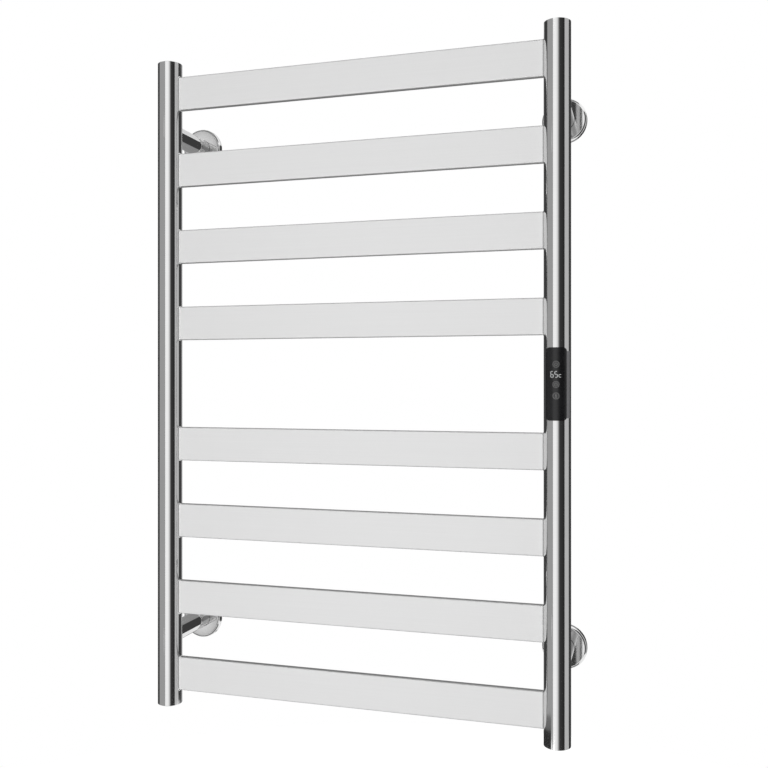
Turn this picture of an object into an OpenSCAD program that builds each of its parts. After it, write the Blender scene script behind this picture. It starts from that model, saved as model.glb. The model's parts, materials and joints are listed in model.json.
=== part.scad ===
// Wall-mounted electric towel rail: two round posts, eight flat bars, four stand-off
// arms on wall plates, and a control set flush into the front of the right post.
//
// The wall is the plane y = 0 and the room is on the -Y side. x = 0 lies midway between
// the posts and z = 0 at mid-height, so the origin is the centre of the four wall fixings.

/* [Rack] */
// Overall height, the length of a post with its two caps
rack_h = 800; // [780:1:1200]
// Distance between the axes of the two posts
post_pitch = 480; // [300:1:700]
// Distance from the wall to the posts' axes
wall_gap = 91; // [88:0.5:120]

/* [Posts] */
// Outer diameter of a post
post_d = 30; // [29:0.5:34]
// Wall of the post tube
post_wall = 1.5; // [1.2:0.1:1.7]
// Thickness of the flat end caps
cap_t = 1.5; // [1:0.1:4]
// Depth of a cap's plug inside the post
cap_plug = 6; // [3:0.5:12]
// Bevel round the rim of a cap
cap_bevel = 0.3; // [0.1:0.1:0.8]

/* [Bars] */
// Number of bars above and below the centre gap
bars_each_side = 4; // [1:1:4]
// Face height of a bar
bar_h = 41.5; // [30:0.5:44]
// Thickness of a bar, front to back
bar_t = 8; // [7:0.5:10]
// Wall of the bar tube
bar_wall = 1.2; // [0.8:0.1:1.4]
// Outside corner radius of the bar tube
bar_corner = 2; // [1.5:0.1:3]
// Distance between neighbouring bars, centre to centre
bar_pitch = 95.5; // [80:0.5:104]
// Distance from a post's end to the nearest bar's centre
bar_margin = 38.5; // [34:0.5:50]
// How far a bar's end lies short of the post's axis
bar_inset = 12; // [11.8:0.1:12.3]

/* [Wall fixings] */
// Outer diameter of a stand-off arm
arm_d = 24; // [22:0.5:26]
// Bore of a stand-off arm
arm_bore = 16; // [15:0.5:17]
// Height of an arm above the outermost bar's centre, towards mid-height
arm_drop = 47; // [40:0.5:50]
// Diameter of a wall plate
plate_d = 44; // [42:0.5:46]
// Thickness of a wall plate
plate_t = 4; // [3:0.5:5]
// Length of the spigot in front of a wall plate
spigot_l = 40; // [30:1:44]
// Bore through a wall plate and its spigot
spigot_bore = 10; // [8:0.5:11]
// Circle on which the three screw holes lie
screw_pcd = 33; // [32:0.5:34]
// Diameter of a screw hole
screw_hole_d = 4.5; // [4:0.1:5]
// Diameter of the countersink at its mouth
screw_head_d = 9; // [7:0.1:9]
// Gap left between an arm's end and its wall plate
arm_end_gap = 1; // [0.5:0.1:1.5]
// Diameter of the grub screw in each arm
grub_d = 5; // [4:0.5:6]
// Distance from the wall to the grub screw
grub_y = 25; // [20:1:35]

/* [Rosettes] */
// Outer diameter of a rosette
rosette_d = 53; // [50:0.5:60]
// Depth of a rosette, wall to front face
rosette_depth = 8.5; // [8.5:0.5:12]
// Radius of the rosette's rounded shoulder
rosette_round = 3; // [2:0.5:5]
// Sheet thickness of a rosette
rosette_t = 1; // [0.8:0.1:1.2]
// Gap between a rosette's rim and the wall
rosette_wall_gap = 0.3; // [0.2:0.1:1]
// Outer diameter of the rubber ring inside a rosette
ring_d = 33; // [30:0.5:36]
// Thickness of the rubber ring
ring_t = 1.8; // [1:0.1:2]

/* [Control] */
// Height of the control's front panel
panel_h = 80; // [78:1:90]
// Width of the front panel
panel_w = 22.4; // [22.2:0.1:23]
// Radius of the panel's corners
panel_corner = 4; // [2:0.5:6]
// How far the panel stands proud of the post
panel_proud = 0.4; // [0.2:0.1:0.6]
// Thickness of the panel's shell
panel_t = 1.2; // [1:0.1:1.3]
// Width of the control's tray
tray_w = 19.2; // [18.8:0.1:19.6]
// Distance from the tray's ends to the panel's ends
tray_end = 3; // [2.5:0.1:3.5]
// Wall of the tray
tray_wall = 1.2; // [0.8:0.1:1.3]
// Distance from the post's axis to the tray's back
tray_back = 3; // [2.6:0.1:3.2]
// Diameter of a key
key_d = 8.5; // [7.5:0.1:9]
// Travel of a key
key_travel = 0.5; // [0.3:0.1:0.6]
// Height of the power key above the panel's centre
power_key_z = 21.5; // [21:0.1:22.5]
// Height of the timer key above the panel's centre
timer_key_z = -0.5; // [-0.8:0.1:0.2]
// Height of the temperature key above the panel's centre
temperature_key_z = -13; // [-14:0.1:-12.5]
// Height of the display above the panel's centre
display_z = 10.5; // [10:0.1:10.8]

/* [Wiring] */
// Diameter of the heating cable
cable_d = 3.5; // [3:0.1:3.8]
// Bend radius of the heating cable's axis
cable_bend = 7; // [6:0.5:7]
// Diameter of the internal supply lead
lead_d = 4; // [3:0.1:4.4]
// Bend radius of the supply lead's axis
lead_bend = 8; // [7:0.5:9]
// Diameter of the temperature sensor
sensor_d = 5; // [4:0.5:5]
// Length of the temperature sensor
sensor_l = 16; // [10:1:20]

/* [Clearances] */
// Gap between pieces that are welded, glued or screwed together
seat_gap = 0.05; // [0.02:0.01:0.1]
// Radial clearance of pieces that slide on each other
slide_gap = 0.05; // [0.02:0.01:0.09]
// Clearance round the front panel, and round a key
panel_gap = 0.1; // [0.05:0.01:0.1]
// Free gap between moving pieces that don't touch
free_gap = 0.3; // [0.3:0.1:0.5]

/* [Hidden] */
$fn = 96;
eps = 0.01;
// How far a cutting tool runs past the face that it cuts
over = 1;

post_r = post_d / 2;
post_bore_r = post_r - post_wall;
arm_r = arm_d / 2;
axis_y = -wall_gap;
half_pitch = post_pitch / 2;
bar_count = 2 * bars_each_side;

// Smallest inside corner of a bar tube
least_corner = 0.3;

// Height of the bar with a given number, counted from 0 at the top
function bar_z(i) = i < bars_each_side
    ? rack_h / 2 - bar_margin - i * bar_pitch
    : -bar_z(bar_count - 1 - i);
arm_z = bar_z(0) - arm_drop;

SIDES = [["left", -1], ["right", 1]];
LEVELS = [["upper", 1], ["lower", -1]];
CORNERS = [for (s = SIDES, l = LEVELS) [str(s[0], "_", l[0]), s[1], l[1]]];
KEYS = [["power", power_key_z], ["timer", timer_key_z], ["temperature", temperature_key_z]];

grommet_t = 1.5;

// Depths inside the control, measured forward from the post's axis
panel_front_r = post_r + panel_proud;
panel_back_r = panel_front_r - panel_t;
tray_h = panel_h - 2 * tray_end;
gasket_t = 0.2;
tray_front_r = panel_back_r - gasket_t;
tray_floor = tray_back + tray_wall;
boss_h = 0.8;
boss_r = 2;
screw_r = 0.75;
screw_head_r = 1.7;
screw_head_t = 1.2;
board_back = tray_floor + boss_h;
board_t = 1.6;
board_front = board_back + board_t;
switch_front = board_front + 3;
plunger_front = switch_front + 1.2;
plunger_r = 1.5;
// Floor left in a switch under its plunger
switch_floor = 0.8;
stem_r = 1.8;
flange_r = key_d / 2 + 0.75;
flange_t = 0.8;
// The flat front of a key's flange clears the panel's curved back
flange_front = sqrt(pow(panel_back_r, 2) - pow(flange_r, 2)) - free_gap;
display_t = 5.4;
display_front = board_front + display_t;
display_w = 13;
display_h = 9;
digit_w = 16;
digit_h = 10.4;
digit_recess = 0.1;

// The board, and what stands on it
board_w = tray_w - 2 * tray_wall - 1.2;
board_h = tray_h - 2 * tray_wall - 2;
connector_l = 6;
connector_w = tray_w - 2 * tray_wall - 0.4;
connector_t = 4.6;
connector_front = board_front + connector_t;
connector_z = board_h / 2 - connector_l;
switch_w = 6;
relay_w = 12;
relay_h = 9;
relay_t = 4.6;
relay_z = (temperature_key_z - switch_w / 2 - connector_z) / 2;
board_screws_at = [
    [board_w / 2 - boss_r, display_z + display_h / 2 + screw_head_r + 2 * free_gap],
    [boss_r - board_w / 2, (timer_key_z + temperature_key_z) / 2]
];
snap_l = 8;
snap_t = 0.6;
snap_w = 6;
snap_front = sqrt(pow(post_bore_r, 2) - pow(snap_w / 2, 2)) - panel_gap;

// Places of the wiring inside the posts, from a post's axis
bend_step = 0.05;
bend_lap = 0.5;
feed_x = 6;
turn_x = -5;
entry_y = -9;
lead_y = 6.5;
jog_angle = 60;
plug_in = 4;
hole_gap = 0.1;
cable_end_z = connector_z + connector_l - plug_in;
sensor_angle = 25;
sensor_r = post_bore_r - sensor_d / 2 - hole_gap;
sensor_xy = [-sensor_r * sin(sensor_angle), -sensor_r * cos(sensor_angle)];
sensor_wire_l = 15;
sensor_z = tray_h / 2 + sensor_wire_l;
sensor_wire_d = 1.8;
cutout_d = 7;
cutout_l = 22;
cutout_z = -130;
post_lead_hole_d = 9;
terminal_l = 18;
terminal_w = 11;
terminal_h = 9;
terminal_gap = 2;
terminal_y = -plate_t - spigot_l - terminal_gap;
terminal_bore_d = lead_d + 2 * hole_gap;
terminal_screw_d = 3;
terminal_screw_ys = [terminal_y - terminal_l / 4, terminal_y - terminal_l * 3 / 4];

polished_steel = "gainsboro";
satin_steel = "silver";
gloss_black = "#1c1c1e";
dark_plastic = "#2e2e30";
board_green = "darkgreen";
cable_red = "firebrick";
rubber_black = "#202020";
brass = "goldenrod";

// ---- Helpers ----

function unit(v) = v / norm(v);
function turn_angle(p, i) = acos(unit(p[i] - p[i - 1]) * unit(p[i + 1] - p[i]));
function bend_trim(p, i, bend) = i == 0 || i == len(p) - 1 ? 0 : bend * tan(turn_angle(p, i) / 2);

// Children drawn on local axes, placed at a point with the local x and y axes given
module on_axes(at, x, y) {
    z = cross(x, y);
    multmatrix([[x[0], y[0], z[0], at[0]], [x[1], y[1], z[1], at[1]], [x[2], y[2], z[2], at[2]]])
        children();
}

// A round rod between two points
module rod(a, b, r) {
    w = unit(b - a);
    x = unit(cross(abs(w[2]) < 0.9 ? [0, 0, 1] : [1, 0, 0], w));
    on_axes(a, x, cross(w, x)) cylinder(r = r, h = norm(b - a));
}

// A round cable through a list of points, bent to one radius at each corner. Its straight
// runs are a hair thinner than its bends and reach a little way into them.
module cable(p, r, bend) {
    for (i = [1 : len(p) - 1]) {
        w = unit(p[i] - p[i - 1]);
        from = i == 1 ? 0 : bend_trim(p, i - 1, bend) - bend_lap;
        to = i == len(p) - 1 ? 0 : bend_trim(p, i, bend) - bend_lap;
        rod(p[i - 1] + w * from, p[i] - w * to, r - bend_step);
    }
    for (i = [1 : len(p) - 2]) {
        u = unit(p[i] - p[i - 1]);
        v = unit(p[i + 1] - p[i]);
        inward = unit(v - (v * u) * u);
        start = p[i] - u * bend_trim(p, i, bend);
        on_axes(start + inward * bend, -inward, u)
            rotate_extrude(angle = turn_angle(p, i)) translate([bend, 0]) circle(r = r);
    }
}

// Children drawn along +Z, turned to run from the wall towards the room
module to_room() { rotate([90, 0, 0]) children(); }

module at_post(side) { translate([side * half_pitch, axis_y, 0]) children(); }
module at_fixing(side, level) { translate([side * half_pitch, 0, level * arm_z]) children(); }

// A block round x = 0, from one depth to another in front of the post's axis
module front_block(w, z0, z1, back, front) {
    translate([-w / 2, -front, z0]) cube([w, front - back, z1 - z0]);
}

// A rod along Y, from one depth to another in front of the post's axis
module front_rod(r, back, front, x = 0, z = 0) {
    translate([x, -back, z]) to_room() cylinder(r = r, h = front - back);
}

module rounded_rect(w, h, r) {
    square([w - 2 * r, h], center = true);
    square([w, h - 2 * r], center = true);
    for (x = [-1, 1], y = [-1, 1]) translate([x * (w / 2 - r), y * (h / 2 - r)]) circle(r = r);
}

// Outline of the control's panel or its window, cut straight back to the post's axis
module panel_outline(grow) {
    to_room() linear_extrude(post_d)
        rounded_rect(panel_w + 2 * grow, panel_h + 2 * grow, panel_corner + grow);
}

module bar_solid(grow, inset) {
    translate([-half_pitch + inset, axis_y, 0]) rotate([90, 0, 90])
        linear_extrude(post_pitch - 2 * inset)
            rounded_rect(bar_t + 2 * grow, bar_h + 2 * grow, bar_corner + grow);
}

// ---- Posts, caps and bars ----

module post_tube() {
    difference() {
        cylinder(r = post_r, h = rack_h - 2 * cap_t, center = true);
        cylinder(r = post_bore_r, h = rack_h, center = true);
    }
}

module post(side) {
    color(polished_steel) difference() {
        at_post(side) post_tube();
        for (i = [0 : bar_count - 1]) translate([0, 0, bar_z(i)]) bar_solid(seat_gap, bar_inset - over);
        if (side > 0) {
            at_post(side) panel_outline(panel_gap);
            at_post(side) translate([0, 0, -arm_z]) rotate([-90, 0, 0])
                cylinder(d = post_lead_hole_d, h = post_d);
        }
    }
}

module bar(i) {
    color(satin_steel) translate([0, 0, bar_z(i)]) difference() {
        bar_solid(0, bar_inset);
        translate([-half_pitch, axis_y, 0]) rotate([90, 0, 90]) linear_extrude(post_pitch)
            rounded_rect(bar_t - 2 * bar_wall, bar_h - 2 * bar_wall,
                max(bar_corner - bar_wall, least_corner));
    }
}

module end_cap(side, level) {
    color(polished_steel) at_post(side) mirror([0, 0, level > 0 ? 0 : 1])
        translate([0, 0, rack_h / 2 - cap_t]) {
            cylinder(r = post_r, h = cap_t - cap_bevel);
            translate([0, 0, cap_t - cap_bevel])
                cylinder(r1 = post_r, r2 = post_r - cap_bevel, h = cap_bevel);
            translate([0, 0, -cap_plug]) difference() {
                cylinder(r = post_bore_r - seat_gap, h = cap_plug);
                translate([0, 0, -eps]) cylinder(r = post_bore_r - post_wall, h = cap_plug + eps);
            }
        }
}

// ---- Stand-off arms, wall plates and rosettes ----

module arm(side, level) {
    color(polished_steel) difference() {
        at_fixing(side, level) translate([0, -plate_t - arm_end_gap, 0]) to_room() difference() {
            cylinder(r = arm_r, h = wall_gap - plate_t - arm_end_gap);
            translate([0, 0, -over]) cylinder(d = arm_bore, h = wall_gap);
        }
        at_post(side) cylinder(r = post_r + seat_gap, h = rack_h, center = true);
        at_fixing(side, level) translate([0, -grub_y, -arm_d]) cylinder(d = grub_d, h = arm_d);
    }
}

// A grub screw sits below the arm's surface, backed off from the spigot
module grub_screw(side, level) {
    screw_l = arm_r - arm_bore / 2 - free_gap;
    at_fixing(side, level) translate([0, -grub_y, -arm_r + free_gap]) difference() {
        cylinder(r = grub_d / 2 - seat_gap, h = screw_l - free_gap);
        translate([0, 0, -eps]) cylinder(d = grub_d / 2, h = screw_l / 2, $fn = 6);
    }
}

module grub_screws() {
    color(satin_steel) for (c = CORNERS) grub_screw(c[1], c[2]);
}

module wall_plate(side, level) {
    sink = (screw_head_d - screw_hole_d) / 2;
    color(satin_steel) at_fixing(side, level) to_room() difference() {
        union() {
            cylinder(d = plate_d, h = plate_t);
            cylinder(r = arm_bore / 2 - slide_gap, h = plate_t + spigot_l);
        }
        translate([0, 0, -over]) cylinder(d = spigot_bore, h = plate_t + spigot_l + 2 * over);
        for (a = [90, 210, 330]) rotate(a) translate([screw_pcd / 2, 0, 0]) {
            translate([0, 0, -over]) cylinder(d = screw_hole_d, h = plate_t + 2 * over);
            translate([0, 0, plate_t - sink])
                cylinder(d1 = screw_hole_d, d2 = screw_head_d, h = sink);
            translate([0, 0, plate_t]) cylinder(d = screw_head_d, h = over);
        }
    }
}

// Half section of a shallow cup with a rounded shoulder, its mouth on y = 0
module cup_section(r, depth, round_r) {
    square([r - round_r, depth]);
    square([r, depth - round_r]);
    translate([r - round_r, depth - round_r]) circle(r = round_r);
}

module rosette(side, level) {
    color(polished_steel) at_fixing(side, level) to_room() rotate_extrude() difference() {
        translate([0, rosette_wall_gap]) intersection() {
            cup_section(rosette_d / 2, rosette_depth - rosette_wall_gap, rosette_round);
            square([rosette_d, rosette_depth]);
        }
        translate([0, -over]) cup_section(rosette_d / 2 - rosette_t, rosette_depth + over - rosette_t,
            rosette_round - rosette_t);
        square([arm_r + free_gap, rosette_depth + over]);
        translate([-rosette_d, -over]) square([rosette_d, rosette_depth + 2 * over]);
    }
}

module rosette_ring(side, level) {
    color(rubber_black) at_fixing(side, level) to_room()
        translate([0, 0, rosette_depth - rosette_t - ring_t]) difference() {
            cylinder(d = ring_d, h = ring_t);
            translate([0, 0, -over]) cylinder(r = arm_r + slide_gap, h = ring_t + 2 * over);
        }
}

module supply_grommet() {
    color(rubber_black) at_fixing(1, -1) to_room() difference() {
        cylinder(r = spigot_bore / 2 - seat_gap, h = 2 * plate_t);
        translate([0, 0, -over]) cylinder(r = spigot_bore / 2 - grommet_t, h = 2 * plate_t + 2 * over);
    }
}

// ---- Control ----

module curved_shell(r_in, r_out, h) {
    difference() {
        cylinder(r = r_out, h = h, center = true);
        cylinder(r = r_in, h = h + 2 * over, center = true);
    }
}

module front_panel() {
    color(gloss_black) at_post(1) difference() {
        intersection() {
            curved_shell(panel_back_r, panel_front_r, panel_h);
            panel_outline(-panel_gap);
        }
        for (k = KEYS) front_rod(key_d / 2 + panel_gap, 0, post_d, z = k[1]);
        intersection() {
            curved_shell(panel_front_r - digit_recess, post_d, panel_h);
            front_block(digit_w, display_z - digit_h / 2, display_z + digit_h / 2, 0, post_d);
        }
    }
}

module tray_hollow(back, front) {
    front_block(tray_w - 2 * tray_wall, -tray_h / 2 + tray_wall, tray_h / 2 - tray_wall, back, front);
}

// Holes for the heating cable at both ends, the sensor's lead above and the supply lead below
module wire_holes() {
    hole_l = tray_h / 2 + over;
    translate([feed_x, entry_y, -hole_l]) cylinder(r = cable_d / 2 + hole_gap, h = 2 * hole_l);
    translate([0, entry_y, -hole_l]) cylinder(r = lead_d / 2 + hole_gap, h = hole_l);
    translate([sensor_xy[0], sensor_xy[1], 0]) cylinder(r = sensor_wire_d / 2 + hole_gap, h = hole_l);
}

module panel_gasket() {
    color(rubber_black) at_post(1) intersection() {
        curved_shell(tray_front_r, panel_back_r, panel_h);
        difference() {
            front_block(tray_w, -tray_h / 2, tray_h / 2, 0, post_d);
            tray_hollow(-over, post_d + over);
        }
    }
}

module control_tray() {
    color(dark_plastic) at_post(1) {
        difference() {
            intersection() {
                front_block(tray_w, -tray_h / 2, tray_h / 2, tray_back, post_d);
                cylinder(r = tray_front_r, h = tray_h, center = true);
            }
            tray_hollow(tray_floor, post_d);
            wire_holes();
        }
        for (p = board_screws_at) difference() {
            front_rod(boss_r, tray_floor - eps, board_back, p[0], p[1]);
            front_rod(screw_r + seat_gap, tray_floor, board_back + over, p[0], p[1]);
        }
        for (m = [0, 1]) mirror([0, 0, m]) snap_tongue();
    }
}

// A tongue that springs out behind the post's wall, above the window's edge
module snap_tongue() {
    front_block(snap_w, tray_h / 2 - tray_wall, tray_h / 2 + snap_l, snap_front - snap_t, snap_front);
}

// A bowed leaf that holds the tray forward, off the post's back wall
module module_spring() {
    leaf_t = 0.4;
    leaf_w = 5;
    leaf_x = -1.5;
    half_l = 22;
    // The leaf's corners reach the post's round bore before its middle does
    top_y = sqrt(pow(post_bore_r, 2) - pow(leaf_w + leaf_x, 2)) - seat_gap;
    reach = top_y + tray_back;
    bow_r = (half_l * half_l + reach * reach) / (2 * reach);
    color(satin_steel) at_post(1) intersection() {
        translate([leaf_x, top_y - bow_r, 0]) rotate([0, 90, 0]) difference() {
            cylinder(r = bow_r, h = leaf_w);
            translate([0, 0, -over]) cylinder(r = bow_r - leaf_t, h = leaf_w + 2 * over);
        }
        translate([-post_r, -tray_back, -half_l - over])
            cube([post_d, post_d, 2 * (half_l + over)]);
    }
}

module control_board() {
    color(board_green) at_post(1) difference() {
        front_block(board_w, -board_h / 2, board_h / 2, board_back, board_front);
        for (p = board_screws_at) front_rod(screw_r + free_gap, 0, post_d, p[0], p[1]);
    }
}

module board_screws() {
    color(satin_steel) at_post(1) for (p = board_screws_at) {
        front_rod(screw_r, tray_floor, board_front, p[0], p[1]);
        front_rod(screw_head_r, board_front, board_front + screw_head_t, p[0], p[1]);
    }
}

module display_module() {
    color(dark_plastic) at_post(1)
        front_block(display_w, display_z - display_h / 2, display_z + display_h / 2,
            board_front, display_front);
}

module key_switches() {
    color(dark_plastic) at_post(1) for (k = KEYS) difference() {
        front_block(switch_w, k[1] - switch_w / 2, k[1] + switch_w / 2, board_front, switch_front);
        front_rod(plunger_r + slide_gap, board_front + switch_floor, post_d, z = k[1]);
    }
}

module power_relay() {
    color("royalblue") at_post(1)
        front_block(relay_w, relay_z - relay_h / 2, relay_z + relay_h / 2,
            board_front, board_front + relay_t);
}

module board_connectors() {
    color("whitesmoke") at_post(1) for (level = [-1, 1]) difference() {
        front_block(connector_w, level > 0 ? connector_z : -connector_z - connector_l,
            level > 0 ? connector_z + connector_l : -connector_z, board_front, connector_front);
        wire_holes();
    }
}

// A key: its face follows the panel's curve, and its flange keeps it in the panel
module key_cap(z) {
    color(gloss_black) at_post(1) {
        intersection() {
            front_rod(key_d / 2, flange_front - flange_t, post_d, z = z);
            cylinder(r = panel_front_r - seat_gap, h = panel_h, center = true);
        }
        front_rod(flange_r, flange_front - flange_t, flange_front, z = z);
        front_rod(stem_r, plunger_front, flange_front - flange_t / 2, z = z);
    }
}

module key_plunger(z) {
    color("whitesmoke") at_post(1)
        front_rod(plunger_r, board_front + switch_floor + key_travel + free_gap, plunger_front, z = z);
}

// ---- Wiring ----

// One S-bend between two parallel runs in the plane of a post's Y and Z axes
function jog(x, y0, y1, z_near, bend, down) =
    let (trim = bend * tan(jog_angle / 2), z1 = z_near + trim, z2 = z1 + abs(y1 - y0) / tan(jog_angle))
    [[x, y0, down * z1], [x, y1, down * z2]];

jog_start = tray_h / 2 + over;
feed_top = concat([[feed_x, entry_y, cable_end_z]], jog(feed_x, entry_y, 0, jog_start, cable_bend, 1));
feed_bottom = concat([[feed_x, entry_y, -cable_end_z]], jog(feed_x, entry_y, 0, jog_start, cable_bend, -1));

// The cable's run through the bars, top to bottom, on x and z from the rack's centre
function right_x(i) = half_pitch + (i == 0 || i == bar_count - 1 ? feed_x : turn_x);
function left_x() = -half_pitch - turn_x;
bar_run = [for (i = [0 : bar_count - 1]) each (i % 2 == 0
    ? [[right_x(i), 0, bar_z(i)], [left_x(), 0, bar_z(i)]]
    : [[left_x(), 0, bar_z(i)], [right_x(i), 0, bar_z(i)]])];
function reversed(p) = [for (i = [len(p) - 1 : -1 : 0]) p[i]];
function shifted(p, by) = [for (q = p) q + by];

module heating_cable() {
    to_right = [half_pitch, axis_y, 0];
    path = concat(shifted(feed_top, to_right), shifted(bar_run, [0, axis_y, 0]),
        shifted(reversed(feed_bottom), to_right));
    color(cable_red) cable(path, cable_d / 2, cable_bend);
}

module supply_lead() {
    terminal_front = wall_gap + terminal_y;
    run = concat([[0, entry_y, -cable_end_z]], jog(0, entry_y, lead_y, jog_start, lead_bend, -1),
        [[0, lead_y, -arm_z], [0, terminal_front - terminal_l + plug_in, -arm_z]]);
    color("dimgray") cable(shifted(run, [half_pitch, axis_y, 0]), lead_d / 2, lead_bend);
}

module terminal_block() {
    color("whitesmoke") at_fixing(1, -1) difference() {
        translate([-terminal_w / 2, terminal_y - terminal_l, -terminal_h / 2])
            cube([terminal_w, terminal_l, terminal_h]);
        translate([0, terminal_y + over, 0]) to_room()
            cylinder(d = terminal_bore_d, h = terminal_l + 2 * over);
        for (y = terminal_screw_ys) translate([0, y, 0])
            cylinder(d = terminal_screw_d + 2 * seat_gap, h = terminal_h);
    }
}

module terminal_screws() {
    color(brass) at_fixing(1, -1) for (y = terminal_screw_ys) translate([0, y, terminal_bore_d / 2])
        cylinder(d = terminal_screw_d, h = terminal_h / 2 - terminal_bore_d / 2);
}

module temperature_sensor() {
    color(satin_steel) at_post(1) translate([sensor_xy[0], sensor_xy[1], sensor_z])
        cylinder(d = sensor_d, h = sensor_l);
}

module sensor_lead() {
    color("white") at_post(1) translate([sensor_xy[0], sensor_xy[1], cable_end_z])
        cylinder(d = sensor_wire_d, h = sensor_z - cable_end_z);
}

// The thermal cutout is sleeved on the supply lead
module thermal_cutout() {
    color("ivory") at_post(1) translate([0, lead_y, cutout_z]) difference() {
        cylinder(d = cutout_d, h = cutout_l);
        translate([0, 0, -over]) cylinder(r = lead_d / 2 + seat_gap, h = cutout_l + 2 * over);
    }
}

// ---- The model ----

post(-1);  // left_post
post(1);  // right_post
for (i = [0 : bar_count - 1]) bar(i);
for (c = CORNERS) {
    end_cap(c[1], c[2]);
    arm(c[1], c[2]);
    wall_plate(c[1], c[2]);
    rosette(c[1], c[2]);
    rosette_ring(c[1], c[2]);
}
grub_screws();
supply_grommet();
front_panel();
panel_gasket();
control_tray();
module_spring();
control_board();
board_screws();
display_module();
key_switches();
power_relay();
board_connectors();
for (k = KEYS) {
    key_cap(k[1]);
    key_plunger(k[1]);
}
heating_cable();
supply_lead();
terminal_block();
terminal_screws();
temperature_sensor();
sensor_lead();
thermal_cutout();
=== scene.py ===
# %% [markdown]
# # A heated towel rail in polished and satin stainless steel
# The rail is two round posts with eight flat bars between them, held off the wall by four arms.
# Its solids come from a imported CAD model, which stays as it is. This lesson gives them their
# finishes, adds the welds, a strip of painted shade beside the panel and the legends on the
# control, and sets up a small studio. Metal has hardly any colour of its own: what it shows is the
# room round it, so the studio matters as much as the materials do.

# %% Load the model
import json
import math

import bmesh
import bpy
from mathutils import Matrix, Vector


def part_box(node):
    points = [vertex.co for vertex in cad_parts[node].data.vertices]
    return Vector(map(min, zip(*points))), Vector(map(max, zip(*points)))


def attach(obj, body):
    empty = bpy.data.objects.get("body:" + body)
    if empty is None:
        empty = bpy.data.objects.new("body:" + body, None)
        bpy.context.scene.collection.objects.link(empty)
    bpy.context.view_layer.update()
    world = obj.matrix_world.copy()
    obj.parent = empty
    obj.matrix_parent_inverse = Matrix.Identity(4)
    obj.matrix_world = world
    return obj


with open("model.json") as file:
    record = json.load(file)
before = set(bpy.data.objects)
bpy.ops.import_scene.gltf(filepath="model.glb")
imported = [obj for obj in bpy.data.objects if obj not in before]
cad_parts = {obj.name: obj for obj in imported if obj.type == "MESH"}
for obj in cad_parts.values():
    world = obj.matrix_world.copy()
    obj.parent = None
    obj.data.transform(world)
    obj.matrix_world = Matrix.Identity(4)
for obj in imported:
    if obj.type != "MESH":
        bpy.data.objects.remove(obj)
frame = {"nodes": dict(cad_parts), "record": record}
scene = bpy.context.scene
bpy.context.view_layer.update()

# %% [markdown]
# ## Where things are
# Every later step needs the same few places: the axis of the post that holds the control, the
# round of the panel in front of it, and the heights and fronts of the keys. They are measured on
# the loaded solids and not typed in again, so that nothing drifts away from the model when it is
# rebuilt in another size.

# %% Measure the control and its keys
MM = 0.001


def middle(node):
    """The centre of a solid's box."""
    low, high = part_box(node)
    return (low + high) / 2


def half_width(node):
    """Half of a solid's size along X, which is the radius of a round one."""
    low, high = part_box(node)
    return (high.x - low.x) / 2


control_axis = middle("right_post")
panel_radius = control_axis.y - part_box("front_panel")[0].y
key_radius = control_axis.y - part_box("power_key")[0].y
key_heights = {key: middle(f"{key}_key").z for key in ("power", "timer", "temperature")}
display_height = (key_heights["power"] + key_heights["timer"]) / 2


def round_the_post(radius, turn, z):
    """A point at a radius from the control's axis, turned from its front to the right."""
    return Vector((control_axis.x + radius * math.sin(turn), control_axis.y - radius * math.cos(turn), z))


print("panel radius mm:", round(panel_radius / MM, 2), "keys at mm:",
      {key: round(z / MM, 1) for key, z in key_heights.items()})

# %% [markdown]
# ## The camera
# The rail is seen from just beyond its right post, a metre away and at half its height, with the
# camera level and turned left. A level camera keeps the posts upright in the picture. The lens
# gives a 46 degree view, which is why the near post looks so much longer than the far one.

# %% Set the camera
EYE = Vector((0.34121, -1.11125, 0.00398))
TURN_LEFT = math.radians(16.447)

camera = bpy.data.objects.new("camera", bpy.data.cameras.new("camera"))
scene.collection.objects.link(camera)
scene.camera = camera
camera.location = EYE
camera.rotation_euler = (math.pi / 2, 0, TURN_LEFT)
camera.data.sensor_width = 36
camera.data.lens = 42.67
camera.data.shift_y = -0.00475
camera.data.clip_start = 0.05
camera.data.clip_end = 50
print("view angle:", round(math.degrees(camera.data.angle), 1))

# %% [markdown]
# ## Colours and nodes
# Finishes are picked as sRGB hex values, as on a paint chart, while the renderer calculates in
# linear light. One function turns the one into the other. A second adds a node to a tree with its
# settings and links, so that each finish below reads as a list of what it is made of.

# %% Helpers for colours and nodes
def linear(hex_colour):
    """The linear RGBA of an sRGB colour written as #RRGGBB."""
    parts = [int(hex_colour[i:i + 2], 16) / 255 for i in (1, 3, 5)]
    return [p / 12.92 if p <= 0.04045 else ((p + 0.055) / 1.055) ** 2.4 for p in parts] + [1.0]


def add(tree, kind, inputs=None, **settings):
    """Adds a node: settings are its attributes; an input is a plain value or another node's socket."""
    made = tree.nodes.new("ShaderNode" + kind)
    for name, value in settings.items():
        setattr(made, name, value)
    for name, value in (inputs or {}).items():
        if isinstance(value, bpy.types.NodeSocket):
            tree.links.new(value, made.inputs[name])
        else:
            made.inputs[name].default_value = value
    return made


def cells(size_mm):
    """The noise scale at which one cell of the pattern is that many millimetres."""
    return 1 / (size_mm * MM)


print("mid grey in linear light:", round(linear("#808080")[0], 3))

# %% [markdown]
# ## What all finishes share
# No real surface is even. On every one here a fine pattern, the marks of the tool, is blended
# with slow clouds, the traces of handling. The blend sets the tone and the roughness between two
# ends, and the fine pattern alone sets the relief. The finishes differ in the pattern's shape
# and size and in those ends, so the rest is written once.

# %% Let tone, roughness and relief follow a pattern
def new_finish(name):
    """An empty material's tree, with the place on the solid that its patterns start from."""
    material = bpy.data.materials.new(name)
    material.use_nodes = True
    tree = material.node_tree
    return material, tree, add(tree, "TexCoord").outputs["Object"]


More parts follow.
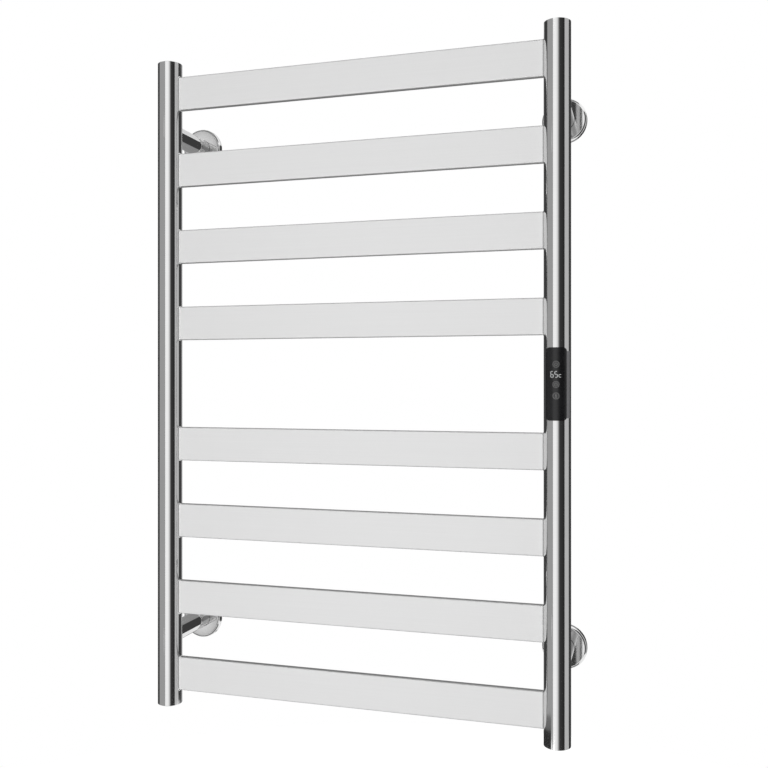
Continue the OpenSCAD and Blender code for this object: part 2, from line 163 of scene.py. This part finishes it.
def follow(tree, fine, blend, ends, tones, roughness, depth_mm):
    """Ends are the values of the blend at which the first and the second tone and roughness lie."""
    surface = tree.nodes["Principled BSDF"]
    shade = add(tree, "ValToRGB", {"Fac": blend})
    for stop, tone, position in zip(shade.color_ramp.elements, tones, ends):
        stop.color, stop.position = linear(tone), position
    tree.links.new(shade.outputs["Color"], surface.inputs["Base Color"])
    rough = add(tree, "MapRange", {"Value": blend, "From Min": ends[0], "From Max": ends[1],
                                   "To Min": roughness[0], "To Max": roughness[1]})
    tree.links.new(rough.outputs["Result"], surface.inputs["Roughness"])
    relief = add(tree, "Bump", {"Height": fine, "Distance": depth_mm * MM, "Strength": 1.0})
    tree.links.new(relief.outputs["Normal"], surface.inputs["Normal"])
    return surface


METAL_ENDS, MOULDED_ENDS = (0.3, 0.7), (0.35, 0.65)
print("the blend runs from", METAL_ENDS, "on metal and", MOULDED_ENDS, "on moulded pieces")

# %% [markdown]
# ## Mirror-polished stainless steel
# The posts, caps, arms and rosettes are tube and sheet of stainless steel, polished on a wheel
# until they mirror the room. The wheel runs round the tube, so what is left of its marks runs
# round it too. The finish is a metal with a very low roughness, in which fine lines across the
# tube's length and a slow cloudiness, such as a hand leaves, vary the roughness a little. Real
# polishing lines are about 0.05 mm apart; they are drawn 0.8 mm apart here, so that they still
# show from a metre away. The rosettes are pressed from sheet and buffed on a softer wheel, which
# leaves them a little brighter and a little less sharp.

# %% Make the polished steel
def steel_finish(name, dark, light, stretch, line_mm, roughness, depth_mm):
    """Steel with fine lines: stretch is how long a line is along X, Y and Z, in line widths."""
    material, tree, place = new_finish(name)
    across = add(tree, "Mapping", {"Vector": place, "Scale": [1 / s for s in stretch]})
    lines = add(tree, "TexNoise", {"Vector": across.outputs["Vector"], "Scale": cells(line_mm),
                                   "Detail": 3.0, "Roughness": 0.6}).outputs["Fac"]
    clouds = add(tree, "TexNoise", {"Vector": place, "Scale": cells(60), "Detail": 2.0}).outputs["Fac"]
    blend = add(tree, "Mix", {"Factor": 0.4, "A": lines, "B": clouds}, data_type="FLOAT").outputs["Result"]
    surface = follow(tree, lines, blend, METAL_ENDS, (dark, light), roughness, depth_mm)
    surface.inputs["Metallic"].default_value = 1.0
    return material


polished_post_steel = steel_finish("mirror_polished_stainless_post", "#E8E8E8", "#EEEEEE",
                                   (60, 60, 1), 0.8, (0.035, 0.07), 0.0006)
polished_arm_steel = steel_finish("mirror_polished_stainless_arm", "#E8E8E8", "#EEEEEE",
                                  (60, 1, 60), 0.8, (0.035, 0.07), 0.0006)
pressed_cover_steel = steel_finish("buffed_stainless_cover", "#ECECEC", "#F2F2F2",
                                   (60, 1, 60), 0.8, (0.06, 0.1), 0.0006)
print("polished steels:", polished_post_steel.name, polished_arm_steel.name, pressed_cover_steel.name)

# %% [markdown]
# ## Satin stainless steel
# The flat bars are linished: drawn along an abrasive belt and then blasted fine. The grain runs
# the length of the bar, and the face takes on an even, bright, nearly matt look in which no single
# thing is mirrored. A real grain of 0.2 mm is too fine to show, so it is drawn 1.4 mm wide
# and 200 mm long, in tones only a few levels apart. The belt reaches the broad faces and runs out
# over the round corners. A mask finds the thin top and bottom edges by how far the surface turns up
# or down, and gives them a smoother surface and a darker colour. The darker colour is painted shade,
# standing in for the dark room that those edges mirror.

# %% Make the satin steel
satin_bar_steel = steel_finish("linished_stainless_bar", "#F7F7F7", "#FBFBFB",
                               (140, 1, 1), 1.4, (0.66, 0.74), 0.004)
tree = satin_bar_steel.node_tree
surface = tree.nodes["Principled BSDF"]
face_colour = surface.inputs["Base Color"].links[0].from_socket
face_roughness = surface.inputs["Roughness"].links[0].from_socket
# painted shade: the top and bottom edges get a darker colour for the dark room they mirror, and a smoother
# surface
facing = add(tree, "SeparateXYZ", {0: add(tree, "TexCoord").outputs["Normal"]})
upright = add(tree, "Math", {0: facing.outputs["Z"]}, operation="ABSOLUTE")
smooth_shaded_edge_mask = add(tree, "MapRange", {"Value": upright.outputs["Value"], "From Min": 0.5, "From Max": 1.0})
edge_or_face = add(tree, "Mix", {"Factor": smooth_shaded_edge_mask.outputs["Result"], "A": face_roughness, "B": 0.4},
                   data_type="FLOAT")
tree.links.new(edge_or_face.outputs["Result"], surface.inputs["Roughness"])
painted_edge_shade = add(tree, "MixRGB", {"Fac": smooth_shaded_edge_mask.outputs["Result"], "Color1": face_colour,
                                   "Color2": linear("#A0A0A0")})
tree.links.new(painted_edge_shade.outputs["Color"], surface.inputs["Base Color"])
print("satin steel:", satin_bar_steel.name)

# %% [markdown]
# ## Hidden metals
# The wall plates are zinc castings with a dull plating, and the spring, the small screws and the
# sensor's sleeve are plain bright steel. Yellow brass terminal screws carry the mains. They use
# the same recipe as the steels above, with coarser, shorter marks and a duller surface, because
# nobody polishes them.

# %% Make the plated zinc, spring steel and brass
plated_zinc = steel_finish("dull_plated_die_cast_zinc", "#BFC1C5", "#CED0D4",
                           (1, 1, 1), 0.9, (0.3, 0.42), 0.01)
spring_steel = steel_finish("bright_spring_steel", "#B4B6BA", "#C6C8CC",
                            (1, 1, 8), 0.5, (0.2, 0.3), 0.003)
machined_brass = steel_finish("machined_brass", "#D2B25C", "#E0C274",
                              (8, 1, 8), 0.4, (0.18, 0.3), 0.003)
print("hidden metals:", plated_zinc.name, spring_steel.name, machined_brass.name)

# %% [markdown]
# ## Moulded plastics, rubber, silicone and ceramic
# Everything else is moulded, extruded or fired. These surfaces differ in colour, in how rough
# the tool left them, and in the size of their texture: a spark-eroded mould gives a 0.3 mm
# leather, a polished mould only a slow ripple, and extruded silicone is smooth with a bloom.
# One recipe fits them all, so each is a row of a table.

# %% Make the moulded finishes
def moulded_finish(name, dark, light, roughness, grain_mm, depth_mm):
    """A non-metal with a grain and slow variation in tone and roughness."""
    material, tree, place = new_finish(name)
    grain = add(tree, "TexNoise", {"Vector": place, "Scale": cells(grain_mm), "Detail": 2.0}).outputs["Fac"]
    clouds = add(tree, "TexNoise", {"Vector": place, "Scale": cells(25), "Detail": 2.0}).outputs["Fac"]
    blend = add(tree, "Mix", {"Factor": 0.5, "A": grain, "B": clouds}, data_type="FLOAT").outputs["Result"]
    surface = follow(tree, grain, blend, MOULDED_ENDS, (dark, light), roughness, depth_mm)
    surface.inputs["IOR"].default_value = 1.5  # acrylic has 1.49, ABS and nylon 1.53
    return material


MOULDED = {  # slot: finish, two tones, roughness at both, size and depth of the grain in mm
    # the panel: deep black with a soft sheen, from a mould polished until it only ripples
    "black_gloss_plastic": ("polished_mould_black_acrylic", "#121214", "#18181A", (0.24, 0.32), 3.0, 0.002),
    # the tray, the switches and the display's case: an even dull black
    "black_plastic": ("spark_textured_black_ABS", "#171718", "#222223", (0.5, 0.62), 0.3, 0.012),
    # rings, gasket and grommet: black without any shine
    "black_rubber": ("matt_black_EPDM_rubber", "#141414", "#1E1E1E", (0.7, 0.85), 0.25, 0.01),
    # the board: a green lacquer with a soft shine
    "circuit_board": ("green_solder_mask_on_glass_laminate", "#0F4A2A", "#1B6A3C", (0.25, 0.4), 0.6, 0.006),
    # the relay: a clear mid blue, as most relays of this kind have
    "relay_case": ("blue_moulded_PBT", "#2A4E9C", "#3560B4", (0.35, 0.45), 0.4, 0.006),
    # plungers, connectors, terminal block and the sensor's lead: a warm, waxy white
    "white_nylon": ("natural_white_nylon", "#DEDCD2", "#ECEAE2", (0.4, 0.52), 0.5, 0.006),
    # the heating cable and the supply lead: dusty silicone, brick red and grey
    "red_silicone": ("extruded_red_silicone", "#8E1F1C", "#A82A25", (0.55, 0.7), 0.8, 0.006),
    "grey_silicone": ("extruded_grey_silicone", "#55565A", "#66676B", (0.55, 0.7), 0.8, 0.006),
    # the thermal cutout's sleeve: chalky cream
    "ceramic_sleeve": ("unglazed_steatite_ceramic", "#E4DFD0", "#F0ECE0", (0.7, 0.85), 0.35, 0.01),
}
finishes = {slot: moulded_finish(*row) for slot, row in MOULDED.items()}
finishes.update(satin_steel=satin_bar_steel, plated_zinc=plated_zinc,
                spring_steel=spring_steel, brass=machined_brass)
print("moulded finishes:", len(MOULDED))

# %% [markdown]
# ## Keys, legends and a strip of painted shade
# The three keys are the same plastic as the panel with a finer, slightly lighter skin, so that a
# finger and an eye can find them. Their symbols are pad-printed in light grey ink, and the
# display's segments are lit faintly from behind: they are pale and give off a little light of
# their own. The satin grey beside the panel is painted shade, standing for the shade that the
# panel's edge throws on the post.

# %% Make the key, ink, segment and shade strip finishes
key_plastic = moulded_finish("fine_textured_grey_black_ABS", "#303032", "#3A3A3C", (0.34, 0.44), 0.4, 0.004)
legend_ink = moulded_finish("light_grey_pad_printed_ink", "#747472", "#868684", (0.5, 0.6), 0.15, 0.002)
lit_segments = moulded_finish("white_lit_display_segments", "#A4A6A6", "#BABCBC", (0.3, 0.4), 0.6, 0.001)
# a satin grey for the strip of painted shade beside the panel
shade_strip_grey = moulded_finish("satin_grey_painted_shade_strip", "#6E6E70", "#7A7A7C", (0.45, 0.55), 0.8, 0.003)
glow = lit_segments.node_tree.nodes["Principled BSDF"]
glow.inputs["Emission Color"].default_value = linear("#F4F8F8")
glow.inputs["Emission Strength"].default_value = 0.05
print("small finishes:", key_plastic.name, legend_ink.name, lit_segments.name, shade_strip_grey.name)

# %% [markdown]
# ## Dress the solids
# Each solid's record names the finish that it has, and most follow it. Among the polished pieces
# the arms take the steel whose lines run round them and the rosettes the buffed one, and among
# the gloss black ones the keys take their own plastic.

# %% Give every solid its finish
for part in frame["record"]["subparts"]:
    node, slot = part["node"], part["material_slot"]
    if slot == "polished_steel":
        finish = {"arm": polished_arm_steel, "rosette": pressed_cover_steel}.get(
            node.split("_")[0], polished_post_steel)
    else:
        finish = key_plastic if node.endswith("_key") else finishes[slot]
    for material_slot in frame["nodes"][node].material_slots:
        material_slot.material = finish

# %% [markdown]
# ## Strokes on a round face
# The panel bends round the post, so its legends have to bend too. Each stroke is a thin ribbon:
# a path on the unrolled panel, widened to both sides and wrapped round the post's axis with a
# few hundredths of a millimetre of ink above the face. Text objects would need flattening and
# bending afterwards; ribbons made in the mesh are exact and light.

# %% Wrap a ribbon of ink round the control's axis
STEP_MM = 0.35


def fine_path(points, closed):
    """The same path with a point at least every STEP_MM, so that it can bend."""
    ends = points[1:] + points[:1] if closed else points[1:]
    path = []
    for start, end in zip(points, ends):
        pieces = max(1, math.ceil(math.dist(start, end) / STEP_MM))
        path += [(start[0] + (end[0] - start[0]) * i / pieces,
                  start[1] + (end[1] - start[1]) * i / pieces) for i in range(pieces)]
    return path if closed else path + [points[-1]]


def wrap(u, v, radius):
    """A point of the unrolled panel, in mm from its middle line, at a radius round the axis."""
    return round_the_post(radius, u * MM / panel_radius, v * MM)


def join_rings(mesh, a, b):
    """Faces between two rings of as many corners."""
    for k in range(len(a)):
        mesh.faces.new((a[k], a[(k + 1) % len(a)], b[(k + 1) % len(a)], b[k]))


def ribbon(mesh, points, width, low, high, closed=False):
    """Adds a closed strip along the path, width mm wide, between two radii."""
    path = fine_path(points, closed)
    rings = []
    for i, (u, v) in enumerate(path):
        before = path[i - 1] if closed or i else path[i]
        after = path[(i + 1) % len(path)] if closed or i < len(path) - 1 else path[i]
        du, dv = after[0] - before[0], after[1] - before[1]
        size = math.hypot(du, dv)
        su, sv = -dv / size * width / 2, du / size * width / 2
        rings.append([mesh.verts.new(wrap(u + side * su, v + side * sv, radius))
                      for side, radius in ((1, low), (1, high), (-1, high), (-1, low))])
    for a, b in zip(rings, rings[1:] + (rings[:1] if closed else [])):
        join_rings(mesh, a, b)
    if not closed:
        mesh.faces.new(rings[0][::-1])
        mesh.faces.new(rings[-1])


print("a stroke of 10 mm bends at", len(fine_path([(0, 0), (10, 0)], False)), "points")

# %% [markdown]
# ## From a mesh to a piece of the rail
# Whatever is added to the solids moves with one of them: it rides on a body of the model and
# takes its finish. Symbols and digits are many strokes, but each set is printed in one go, so it
# is one piece.

# %% Helpers that turn meshes into pieces
def arc(centre, radius, start, end, points=24):
    """Points on an arc, in degrees from the right, anticlockwise."""
    turns = [math.radians(start + (end - start) * i / points) for i in range(points + 1)]
    return [(centre[0] + radius * math.cos(t), centre[1] + radius * math.sin(t)) for t in turns]


def keep(name, mesh, finish, body):
    """Turns the mesh into a piece with its finish, which rides on a body."""
    bmesh.ops.recalc_face_normals(mesh, faces=mesh.faces)
    data = bpy.data.meshes.new(name)
    mesh.to_mesh(data)
    mesh.free()
    data.materials.append(finish)
    piece = bpy.data.objects.new(name, data)
    scene.collection.objects.link(piece)
    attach(piece, body)
    print(name, "faces:", len(data.polygons))


def printed(name, strokes, low, high, finish, body):
    """Makes one piece of many strokes; each stroke is points, width and whether it closes."""
    mesh = bmesh.new()
    for points, width, closed in strokes:
        ribbon(mesh, points, width, low, high, closed)
    keep(name, mesh, finish, body)


# %% [markdown]
# ## The welds between bars and posts
# Each bar runs into a slot in the post and is welded all round, and the bead is ground to a small
# hollow fillet before polishing. The bead needs two things: its own small section, and the path
# round the bar's outline with its four round corners. The section reaches a little into the bar
# and the post, so that no gap shows.

# %% The bead's section and the path that it follows
WELD_MM, BAR_CORNER_MM = 1.2, 2.0
BURIED = 0.06  # how far the bead reaches into the steel, in widths of the weld
BEAD = [  # a hollow fillet, as (along the bar, out from the bar) in widths of the weld
    (1.0, -BURIED), (1.0, 0.0), (0.55, 0.12), (0.27, 0.27), (0.12, 0.55),
    (0.0, 1.0), (-BURIED, 1.0), (-BURIED, -BURIED),
]


def bar_outline(bar, steps=6):
    """Points round a bar's section with the outward direction of each, as (y, z, ny, nz)."""
    low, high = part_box(bar)
    corner = BAR_CORNER_MM * MM
    outline = []
    for y, z, start in ((high.y - corner, high.z - corner, 0), (low.y + corner, high.z - corner, 90),
                        (low.y + corner, low.z + corner, 180), (high.y - corner, low.z + corner, 270)):
        for i in range(steps + 1):
            turn = math.radians(start + 90 * i / steps)
            ny, nz = math.cos(turn), math.sin(turn)
            outline.append((y + corner * ny, z + corner * nz, ny, nz))
    return outline


print("weld width mm:", WELD_MM, "points round a bar:", len(bar_outline("bar_1")))

# %% [markdown]
# ## Sweeping the beads
# A bead is a ring of that section, carried round the outline while it stays on the post's round
# face. Sweeping it in the mesh is simpler than cutting the crossing of a round and a flat tube.

# %% Sweep a bead round every bar end
def weld_bead(mesh, bar, post):
    """Adds the closed bead between one bar and one post."""
    axis, radius = middle(post), half_width(post)
    inward = 1 if axis.x < middle(bar).x else -1
    rings = []
    for y, z, ny, nz in bar_outline(bar):
        ring = []
        for along, out in BEAD:
            away = along * WELD_MM * MM
            py, pz = y + ny * out * WELD_MM * MM, z + nz * out * WELD_MM * MM
            surface_x = math.sqrt(radius ** 2 - (py - axis.y) ** 2)
            ring.append(mesh.verts.new((axis.x + inward * (surface_x + away), py, pz)))
        rings.append(ring)
    for a, b in zip(rings, rings[1:] + rings[:1]):
        join_rings(mesh, a, b)


bead_mesh = bmesh.new()
for bar in (node for node in frame["nodes"] if node.startswith("bar_")):
    for post in ("left_post", "right_post"):
        weld_bead(bead_mesh, bar, post)
keep("bar_welds", bead_mesh, polished_post_steel, "rack")

# %% [markdown]
# ## A strip of painted shade beside the control
# To the right of the panel a thin grey strip lies on the post. It is painted shade, standing in
# for the shade that the panel's edge throws there. It is bent round the post's axis, thinner than a
# sheet of paper, with closed ends. Its inner side lies just under the post's surface, so that no
# light passes behind it.

# %% Bend the strip of painted shade
SHADE_STRIP_MM, SHADE_STRIP_BURY_MM = 0.12, 0.05
SHADE_STRIP_LOW, SHADE_STRIP_HIGH = -37.5, 36.0  # its ends' heights in mm
SHADE_STRIP_FROM, SHADE_STRIP_TO, SHADE_STRIP_STEPS = 46.5, 68.0, 12  # degrees to the right of the post's front

# painted shade: a thin grey strip where the panel's edge shades the post
shade_strip_mesh = bmesh.new()
shade_strip_inside = half_width("right_post") - SHADE_STRIP_BURY_MM * MM
shade_strip_outside = half_width("right_post") + SHADE_STRIP_MM * MM
sections = []
for i in range(SHADE_STRIP_STEPS + 1):
    turn = math.radians(SHADE_STRIP_FROM + (SHADE_STRIP_TO - SHADE_STRIP_FROM) * i / SHADE_STRIP_STEPS)
    sections.append([shade_strip_mesh.verts.new(round_the_post(radius, turn, z * MM))
                     for radius, z in ((shade_strip_inside, SHADE_STRIP_LOW), (shade_strip_outside, SHADE_STRIP_LOW),
                                       (shade_strip_outside, SHADE_STRIP_HIGH), (shade_strip_inside, SHADE_STRIP_HIGH))])
for a, b in zip(sections, sections[1:]):
    join_rings(shade_strip_mesh, a, b)
shade_strip_mesh.faces.new(sections[0][::-1])
shade_strip_mesh.faces.new(sections[-1])
keep("panel_shade_strip", shade_strip_mesh, shade_strip_grey, "rack")

# %% [markdown]
# ## The display's digits
# The display is a two-digit module with seven bars to a digit and a small unit mark, lying
# behind a shallow window in the panel. The seven bars are listed once, and each digit picks
# those that it lights.

# %% Light the digits
DIGIT_WIDE, DIGIT_HIGH, STROKE, BAR_GAP = 3.9, 7.4, 1.0, 0.1
LIT = {"6": "afgedc", "5": "afgcd"}  # a top, g middle, d bottom, f and b upper, e and c lower
LEFT = {"6": -6.4, "5": -1.7}  # each digit's left side, in mm from the panel's middle line
WINDOW_LOW = panel_radius - 0.08 * MM
WINDOW_HIGH = panel_radius - 0.02 * MM


def digit_strokes(digit, left, bottom):
    """The lit bars of one digit, from its lower left corner."""
    x = {"l": left + STROKE / 2, "r": left + DIGIT_WIDE - STROKE / 2}
    z = {"low": bottom + STROKE / 2, "mid": bottom + DIGIT_HIGH / 2, "top": bottom + DIGIT_HIGH - STROKE / 2}
    reach = STROKE / 2 + BAR_GAP
    level = {"a": "top", "g": "mid", "d": "low"}
    upright = {"f": ("l", "mid", "top"), "b": ("r", "mid", "top"),
               "e": ("l", "low", "mid"), "c": ("r", "low", "mid")}
    bars = []
    for name in LIT[digit]:
        if name in level:
            at = z[level[name]]
            bars.append([(x["l"] + reach, at), (x["r"] - reach, at)])
        else:
            side, low, high_end = upright[name]
            bars.append([(x[side], z[low] + BAR_GAP), (x[side], z[high_end] - BAR_GAP)])
    return [(bar, STROKE, False) for bar in bars]


base = display_height / MM - DIGIT_HIGH / 2
strokes = []
for digit, left in LEFT.items():
    strokes += digit_strokes(digit, left, base)
strokes.append((arc((4.6, base + 2.1), 1.5, 50, 310), 0.8, False))  # the unit mark
printed("display_digits", strokes, WINDOW_LOW, WINDOW_HIGH, lit_segments, "rack")

# %% [markdown]
# ## The symbols on the keys
# Each key has a ring and a symbol that needs no words: a broken circle with a bar for power, a
# clock face for the timer and a thermometer for the temperature. The ink stands 0.02 mm above
# the key and rides on it, so that it moves when the key is pressed.

# %% Print the keys' symbols
INK_LOW, INK_HIGH = key_radius - 0.01 * MM, key_radius + 0.02 * MM
RING, THIN = 3.3, 0.32  # all of a symbol's sizes are in mm from the key's middle


def circle(centre, radius):
    """A closed circle's points, without the repeated last one."""
    return arc(centre, radius, 0, 360)[:-1]


for key, z in key_heights.items():
    v = z / MM
    marks = [(circle((0, v), RING), THIN, True)]
    if key == "power":
        marks += [(arc((0, v), 1.5, 125, 415), THIN, False), ([(0, v + 0.5), (0, v + 1.9)], THIN, False)]
    elif key == "timer":
        marks += [(circle((0, v), 1.7), THIN, True), ([(0, v + 1.1), (0, v), (0.8, v - 0.5)], THIN, False)]
    else:
        marks += [(arc((0, v - 1.1), 0.85, 125, 415), THIN, False),
                  ([(-0.45, v - 0.3), (-0.45, v + 1.5), (0.45, v + 1.5), (0.45, v - 0.3)], THIN, False),
                  ([(0, v - 1.1), (0, v + 0.7)], THIN, False)]
    printed(f"{key}_symbol", marks, INK_LOW, INK_HIGH, legend_ink, f"{key}_button")

# %% [markdown]
# ## White surroundings
# The surroundings are white to the camera and in reflections, and light everything else at a
# lower, plain level. So the background stays clean while the matt pieces keep their own tones.

# %% Make the surroundings
AMBIENT = 0.62
world = bpy.data.worlds.new("white_studio")
scene.world = world
world.use_nodes = True
sky = world.node_tree
path = add(sky, "LightPath").outputs
seen = add(sky, "Math", {0: path["Is Camera Ray"], 1: path["Is Glossy Ray"]}, operation="ADD")
shown = add(sky, "Math", {0: seen.outputs["Value"], 1: path["Is Transmission Ray"]},
            operation="ADD", use_clamp=True)
level = add(sky, "MapRange", {"Value": shown.outputs["Value"], "To Min": AMBIENT, "To Max": 1.0})
sky.links.new(level.outputs["Result"], sky.nodes["Background"].inputs["Strength"])
sky.nodes["Background"].inputs["Color"].default_value = (1, 1, 1, 1)
print("ambient level:", AMBIENT)

# %% [markdown]
# ## A pale floor
# The rail hangs over a plain pale floor, as far below it as it would hang above a bathroom's. The
# floor is a matt round sheet that takes the rail's shadow. Where the camera sees it, it is lifted
# a little, so that it runs into the white behind, and it casts no shadow itself, because one of
# the lamps shines from below.

# %% Lay the floor
FLOOR_Z, FLOOR_RADIUS, FLOOR_SIDES = -1.0, 1.5, 96


def flat_mesh(name, corners):
    """A single flat face as an object of the studio."""
    data = bpy.data.meshes.new(name)
    data.from_pydata([tuple(c) for c in corners], [], [tuple(range(len(corners)))])
    sheet = bpy.data.objects.new(name, data)
    scene.collection.objects.link(sheet)
    return sheet


turns = [2 * math.pi * i / FLOOR_SIDES for i in range(FLOOR_SIDES)]
floor = flat_mesh("floor", [(FLOOR_RADIUS * math.cos(t), FLOOR_RADIUS * math.sin(t), FLOOR_Z) for t in turns])
floor_paint = bpy.data.materials.new("matt_white_floor")
floor_paint.use_nodes = True
tree = floor_paint.node_tree
tree.nodes.remove(tree.nodes["Principled BSDF"])
matt = add(tree, "BsdfDiffuse", {"Color": linear("#F3F3F3")})
white = add(tree, "Emission", {"Color": (1, 1, 1, 1), "Strength": 0.16})
rays = add(tree, "LightPath").outputs
none = add(tree, "Emission", {"Strength": 0.0})
lift = add(tree, "MixShader", {"Fac": rays["Is Camera Ray"], 1: none.outputs[0], 2: white.outputs[0]})
total = add(tree, "AddShader", {0: matt.outputs[0], 1: lift.outputs[0]})
tree.links.new(total.outputs[0], tree.nodes["Material Output"].inputs["Surface"])
floor.data.materials.append(floor_paint)
floor.visible_shadow = False
print("floor at:", FLOOR_Z, "m, radius:", FLOOR_RADIUS, "m")

# %% [markdown]
# ## Cards for the steel to mirror
# In front of a plain white room polished tube looks flat and white. A studio that works with
# metal stands grey and black cards round it, out of sight, and each card shows in the tube as an
# upright band. A round post mirrors the whole room squeezed into its width, so a card's bearing
# from the post sets where its band lies, and its tone sets how dark the band is. A card whose
# tone runs from one value to another gives a soft-edged band.

# %% List the upright cards
CARDS = [  # name, start and end as seen from above, bottom and top, tones of both ends (1 is white)
    ("card_left", (-0.756, -1.756), (-3.0, -0.30), (-1.45, 2.6), (0.36, 0.36)),
    ("card_left_back", (-3.0, -0.30), (-1.9, 2.6), (-2.6, 2.6), (0.05, 0.05)),
    ("card_back", (-1.9, 2.6), (0.9, 2.9), (-1.5, 1.5), (0.28, 0.28)),
    ("card_back_high", (-1.9, 2.6), (0.9, 2.9), (1.5, 3.2), (0.75, 0.75)),
    ("card_back_low", (-1.9, 2.6), (0.9, 2.9), (-3.2, -1.5), (0.75, 0.75)),
    ("card_right_back", (0.9, 2.9), (2.95, 1.2), (-1.6, 1.6), (0.05, 0.05)),
    ("card_right", (2.95, 1.2), (1.54, -0.596), (-1.5, 1.5), (0.52, 0.52)),
    ("card_right_front", (1.54, -0.596), (0.95, -1.735), (-1.2, 1.2), (0.02, 0.05)),
    ("card_front_dark", (0.95, -1.735), (0.712, -1.852), (-1.2, 1.2), (0.07, 0.35)),
    ("card_front_grey", (0.712, -1.852), (0.46, -1.934), (-1.2, 1.2), (0.35, 0.76)),
    ("card_front_pale", (0.46, -1.934), (0.066, -1.989), (-1.2, 1.2), (0.76, 0.97)),
]
sheets = [(name, [(x0, y0, low), (x1, y1, low), (x1, y1, high), (x0, y0, high)], tones)
          for name, (x0, y0), (x1, y1), (low, high), tones in CARDS]
print("upright cards:", len(sheets))

# %% [markdown]
# ## Cards that lie flat
# Near the right post's lower end a dark patch shows on its left side: something dark that lies on
# the floor. Two crescents round that post stand for it, the outer one paler. A card high above
# and one just over the floor give the round rims of the arms and rosettes their dark lines.

# %% List the flat cards
CRESCENT_Z, CRESCENT_TURNS = FLOOR_Z + 0.005, range(-48, -177, -8)  # degrees from the front
CRESCENTS = [("card_low_left", 1.45, 1.64, 0.03), ("card_low_left_far", 1.64, 1.76, 0.16)]
OVERHEAD = [("card_above", 0.98), ("card_below", -0.98)]
OVERHEAD_LOW, OVERHEAD_HIGH, OVERHEAD_TONE = (-1.0, -0.9), (0.6, 0.1), 0.2

for name, near, far, tone in CRESCENTS:
    turns = [math.radians(t) for t in CRESCENT_TURNS]
    rim = [(near, t) for t in turns] + [(far, t) for t in reversed(turns)]
    sheets.append((name, [round_the_post(radius, t, CRESCENT_Z) for radius, t in rim], (tone, tone)))
(x0, y0), (x1, y1) = OVERHEAD_LOW, OVERHEAD_HIGH
for name, z in OVERHEAD:
    corners = [(x0, y0, z), (x1, y0, z), (x1, y1, z), (x0, y1, z)]
    sheets.append((name, corners, (OVERHEAD_TONE, OVERHEAD_TONE)))
print("flat cards:", [name for name, *_ in CRESCENTS + OVERHEAD])

# %% [markdown]
# ## Openings in the left card
# The flat faces of the two left rosettes mirror the left card and would come out as dark as the
# post's grey band. On the real rail they are bright, so the card has a pale opening for each. An
# opening is where the rays from the mirrored eye through the rosette's round face meet the card;
# it lies a hair in front of it.

# %% Find the two openings
OPENING_TONE, IN_FRONT, RIM_MM = 0.8, 0.999, 2
OPENING_TURNS = range(-10, 191, 20)  # degrees round the rosette's free half
start, end = (Vector(corner) for corner in CARDS[0][1:3])
along = (end - start).normalized()
for name in ("rosette_left_upper", "rosette_left_lower"):
    centre, face_y = middle(name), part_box(name)[0].y
    radius, up = half_width(name) - RIM_MM * MM, 1 if centre.z > 0 else -1
    mirrored_eye = Vector((EYE.x, 2 * face_y - EYE.y, EYE.z))
    gap = start - mirrored_eye.xy
    opening = []
    for turn in OPENING_TURNS:
        across, rise = radius * math.cos(math.radians(turn)), radius * math.sin(math.radians(turn))
        ray = Vector((centre.x + across, face_y, centre.z + up * rise)) - mirrored_eye
        reach = (gap.x * along.y - gap.y * along.x) / (ray.x * along.y - ray.y * along.x)
        opening.append(mirrored_eye + ray * (reach * IN_FRONT))
    sheets.append((name + "_opening", opening, (OPENING_TONE, OPENING_TONE)))
print("openings:", len(sheets[-1][1]), "corners each")

# %% [markdown]
# ## Paper for the cards
# Each card gives off its tone evenly and is seen in reflections only: the camera, the floor and
# matt surfaces take nothing from it. Along its length the paper runs from the tone of one end to
# that of the other.

# %% Make the cards
for name, corners, tones in sheets:
    card = flat_mesh(name, corners)
    for kind in ("camera", "diffuse", "transmission", "volume_scatter", "shadow"):
        setattr(card, f"visible_{kind}", False)
    paper = bpy.data.materials.new(name + "_paper")
    paper.use_nodes = True
    tree = paper.node_tree
    tree.nodes.remove(tree.nodes["Principled BSDF"])
    place = add(tree, "SeparateXYZ", {0: add(tree, "TexCoord").outputs["Object"]}).outputs["X"]
    grade = add(tree, "MapRange", {"Value": place, "From Min": corners[0][0], "From Max": corners[1][0],
                                   "To Min": tones[0], "To Max": tones[1]})
    shine = add(tree, "Emission", {"Strength": grade.outputs["Result"]})
    tree.links.new(shine.outputs[0], tree.nodes["Material Output"].inputs["Surface"])
    paper.cycles.emission_sampling = "NONE"
    card.data.materials.append(paper)
print("cards:", len(sheets))

# %% [markdown]
# ## Four soft lamps
# A wide lamp high in front lights the plastics and the floor, where it leaves the rail's shadow,
# and a weaker one behind keeps the back from going dull. Mirrored steel would show them as blots,
# so metal doesn't see them. Instead it has two lamps of its own, one from above and one from
# below, which give the satin bars an even brightness from the top one to the bottom one. All
# four are broad and far away, so the light is the same all along the rail.

# %% Hang the lamps
LAMPS = [  # name, where it shines from, level, angular size in degrees, whether metal shows it
    ("front_lamp", (-0.35, -1.0, 1.5), 1.1, 40, False),
    ("back_lamp", (0.6, 1.0, 1.3), 0.5, 50, False),
    ("bar_lamp_high", (-0.4, -1.0, 0.8), 0.44, 30, True),
    ("bar_lamp_low", (-0.4, -1.0, -0.8), 0.52, 30, True),
]
for name, towards, power, spread, in_metal in LAMPS:
    lamp = bpy.data.objects.new(name, bpy.data.lights.new(name, "SUN"))
    scene.collection.objects.link(lamp)
    lamp.rotation_euler = Vector(towards).to_track_quat("Z", "Y").to_euler()
    lamp.data.energy = power
    lamp.data.angle = math.radians(spread)
    lamp.visible_glossy = in_metal
    lamp.visible_diffuse = not in_metal
print("lamps:", [name for name, *_ in LAMPS])

# %% [markdown]
# ## Finish
# The picture is shown without any film look, so that a colour comes out as it was written.

# %% Set the picture's look
scene.view_settings.view_transform = "Standard"
